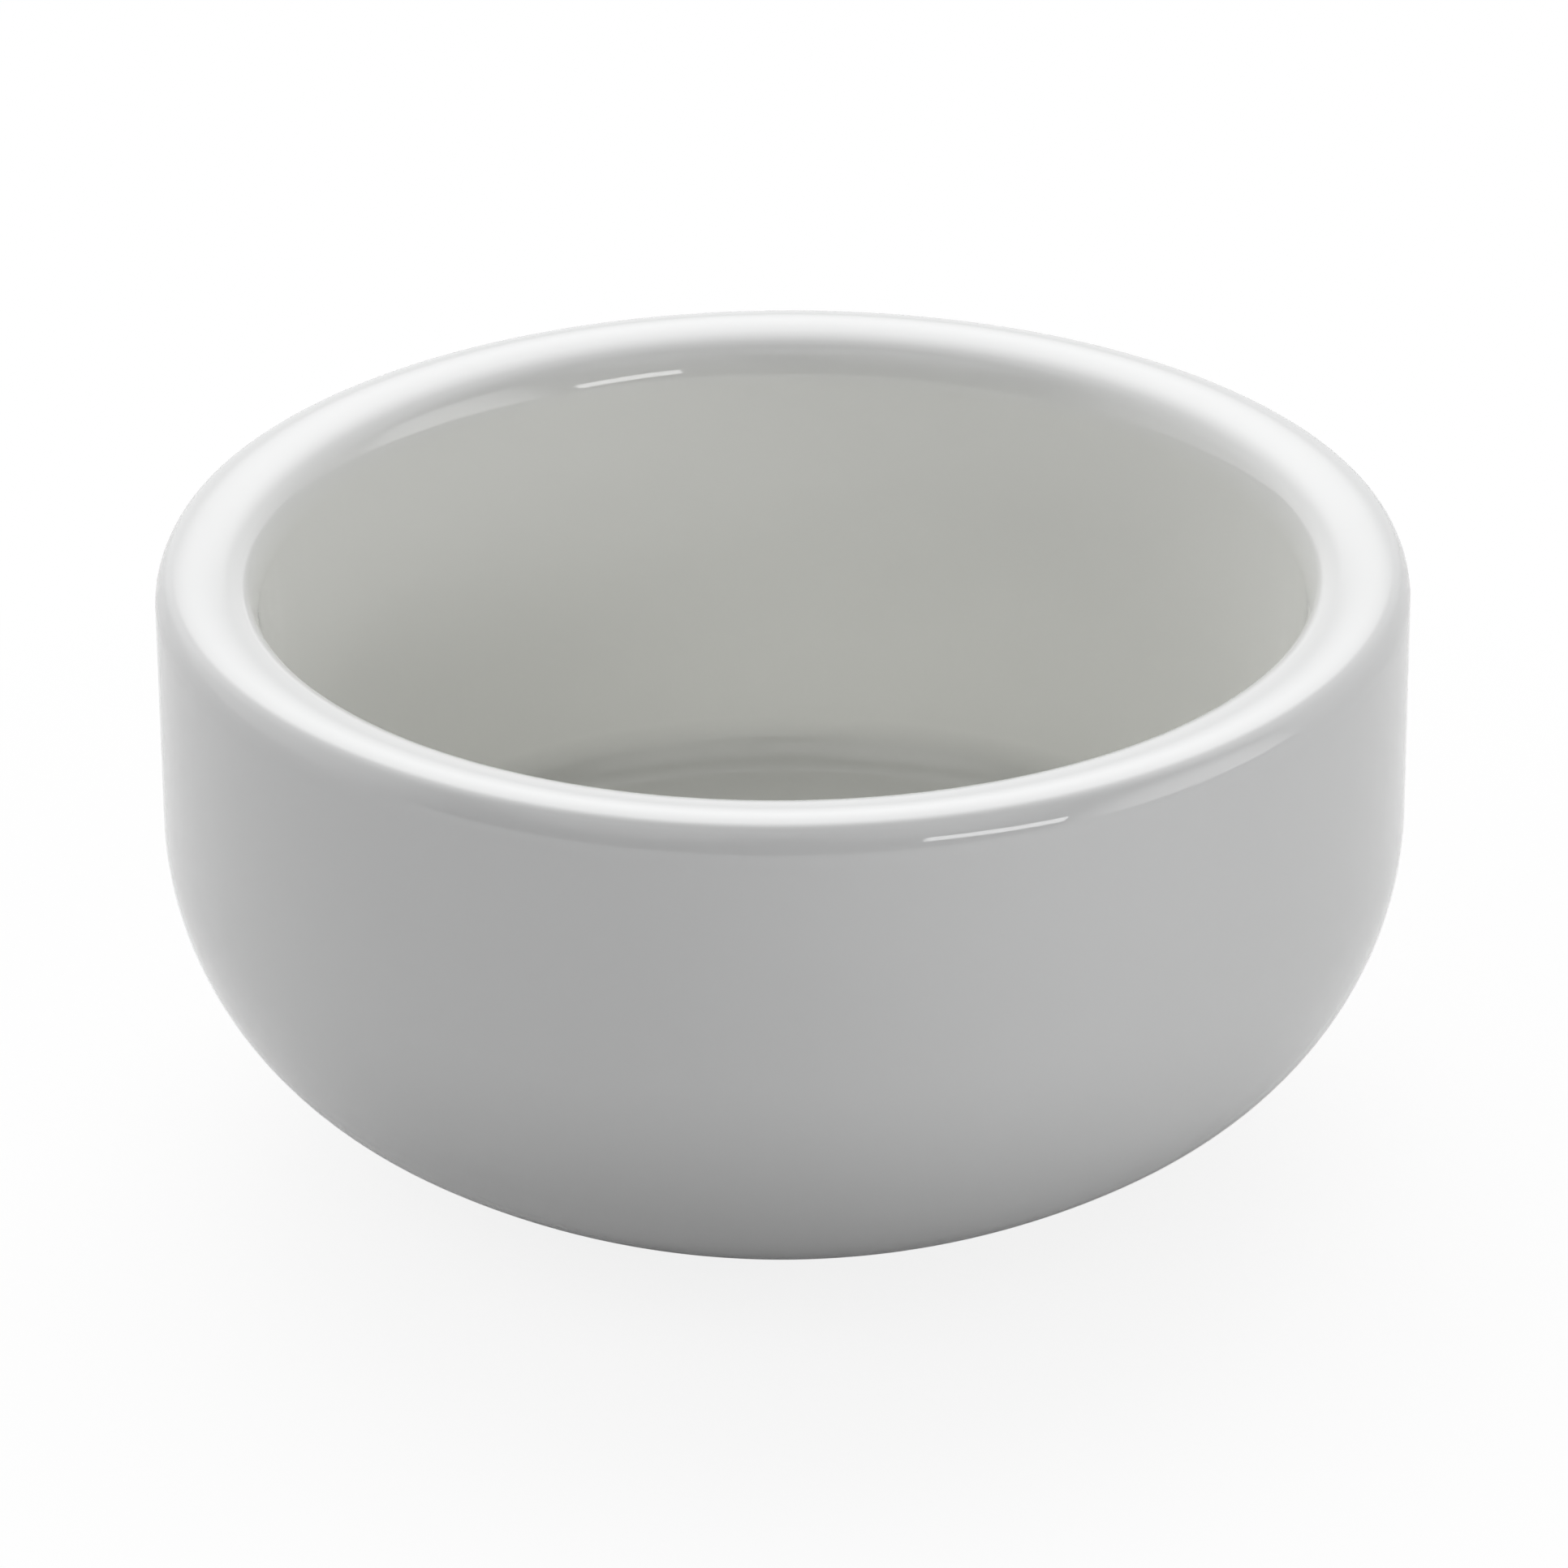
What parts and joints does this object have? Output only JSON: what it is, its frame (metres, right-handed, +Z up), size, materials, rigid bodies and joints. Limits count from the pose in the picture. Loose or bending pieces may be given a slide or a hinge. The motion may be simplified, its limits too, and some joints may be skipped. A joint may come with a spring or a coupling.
{
  "type": "butter pot",
  "caption": "Small round butter pot in thick white glazed porcelain, with a rolled rim, a straight wall, a rounded underside and a low foot ring.",
  "frame": {"origin": "centre of the foot ring, on the surface that the pot stands on", "axes": "+Z up along the pot's turning axis; the pot is round, so X and Y are free"},
  "size_m": [0.065, 0.065, 0.0335],
  "materials": {
    "porcelain": "glossy clear glaze over white porcelain, with a bare matt foot ring"
  },
  "bodies": {
    "root": {"pot": "porcelain"}
  },
  "joints": []
}
